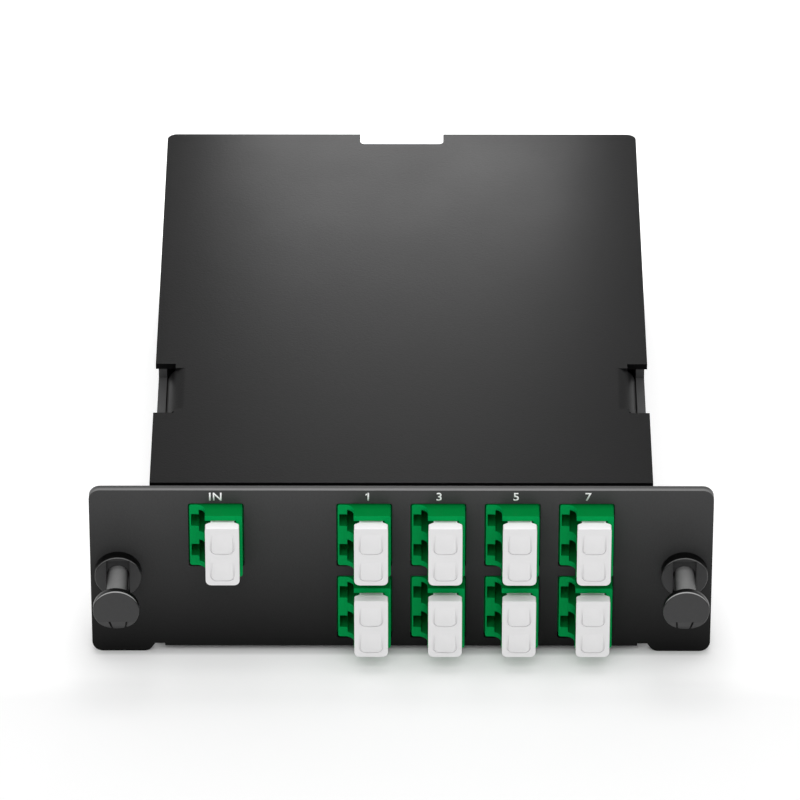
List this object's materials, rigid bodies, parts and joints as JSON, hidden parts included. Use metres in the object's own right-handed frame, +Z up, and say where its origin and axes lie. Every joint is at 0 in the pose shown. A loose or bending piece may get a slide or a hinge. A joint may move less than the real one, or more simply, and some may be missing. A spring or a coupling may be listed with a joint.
{
  "type": "plc fibre splitter",
  "caption": "Slide-in optical splitter cassette: sheet-metal box behind a front panel with capped fibre adapters and a push-pull latch at each end.",
  "frame": {"origin": "centre of the front panel's rear face, midway between the two latches", "axes": "+X to the right as seen from the front, +Y into the rack, +Z up"},
  "size_m": [0.109, 0.1349, 0.034],
  "materials": {
    "powder_coat": "fine-grained matt powder coat",
    "screw_steel": "black oxide",
    "spring_steel": "rolled",
    "adapter_plastic": "satin moulded",
    "cap_plastic": "soft moulded",
    "connector_plastic": "satin moulded",
    "latch_plastic": "satin moulded",
    "tray_plastic": "moulded",
    "splitter_steel": "brushed",
    "fibre_sleeve": "smooth sleeve"
  },
  "bodies": {
    "cassette": {"chassis": "powder_coat", "top_cover": "powder_coat", "cover_screws": "screw_steel", "adapter_comb": "spring_steel", "adapter_in": "adapter_plastic", "adapter_1": "adapter_plastic", "adapter_2": "adapter_plastic", "adapter_3": "adapter_plastic", "adapter_4": "adapter_plastic", "adapter_5": "adapter_plastic", "adapter_6": "adapter_plastic", "adapter_7": "adapter_plastic", "adapter_8": "adapter_plastic", "pigtail_connector_in": "connector_plastic", "pigtail_connector_1": "connector_plastic", "pigtail_connector_2": "connector_plastic", "pigtail_connector_3": "connector_plastic", "pigtail_connector_4": "connector_plastic", "pigtail_connector_5": "connector_plastic", "pigtail_connector_6": "connector_plastic", "pigtail_connector_7": "connector_plastic", "pigtail_connector_8": "connector_plastic", "latch_grommet_left": "latch_plastic", "latch_grommet_right": "latch_plastic", "fibre_tray": "tray_plastic", "splitter_module_a": "splitter_steel", "splitter_module_b": "splitter_steel", "fibre_coil": "fibre_sleeve", "fibre_ribbons": "fibre_sleeve"},
    "latch_left": {"latch_plunger_left": "latch_plastic"},
    "latch_right": {"latch_plunger_right": "latch_plastic"},
    "cap_in": {"dust_cap_in": "cap_plastic"},
    "cap_1": {"dust_cap_1": "cap_plastic"},
    "cap_2": {"dust_cap_2": "cap_plastic"},
    "cap_3": {"dust_cap_3": "cap_plastic"},
    "cap_4": {"dust_cap_4": "cap_plastic"},
    "cap_5": {"dust_cap_5": "cap_plastic"},
    "cap_6": {"dust_cap_6": "cap_plastic"},
    "cap_7": {"dust_cap_7": "cap_plastic"},
    "cap_8": {"dust_cap_8": "cap_plastic"}
  },
  "joints": [
    {"name": "latch_left_push", "type": "slide", "parent": "cassette", "child": "latch_left", "axis": [0, 1, 0], "range_m": [0, 0.009]},
    {"name": "latch_right_push", "type": "slide", "parent": "cassette", "child": "latch_right", "axis": [0, 1, 0], "range_m": [0, 0.009]},
    {"name": "cap_in_pull", "type": "slide", "parent": "cassette", "child": "cap_in", "axis": [0, -1, 0], "range_m": [0, 0.012]},
    {"name": "cap_1_pull", "type": "slide", "parent": "cassette", "child": "cap_1", "axis": [0, -1, 0], "range_m": [0, 0.012]},
    {"name": "cap_2_pull", "type": "slide", "parent": "cassette", "child": "cap_2", "axis": [0, -1, 0], "range_m": [0, 0.012]},
    {"name": "cap_3_pull", "type": "slide", "parent": "cassette", "child": "cap_3", "axis": [0, -1, 0], "range_m": [0, 0.012]},
    {"name": "cap_4_pull", "type": "slide", "parent": "cassette", "child": "cap_4", "axis": [0, -1, 0], "range_m": [0, 0.012]},
    {"name": "cap_5_pull", "type": "slide", "parent": "cassette", "child": "cap_5", "axis": [0, -1, 0], "range_m": [0, 0.012]},
    {"name": "cap_6_pull", "type": "slide", "parent": "cassette", "child": "cap_6", "axis": [0, -1, 0], "range_m": [0, 0.012]},
    {"name": "cap_7_pull", "type": "slide", "parent": "cassette", "child": "cap_7", "axis": [0, -1, 0], "range_m": [0, 0.012]},
    {"name": "cap_8_pull", "type": "slide", "parent": "cassette", "child": "cap_8", "axis": [0, -1, 0], "range_m": [0, 0.012]}
  ]
}
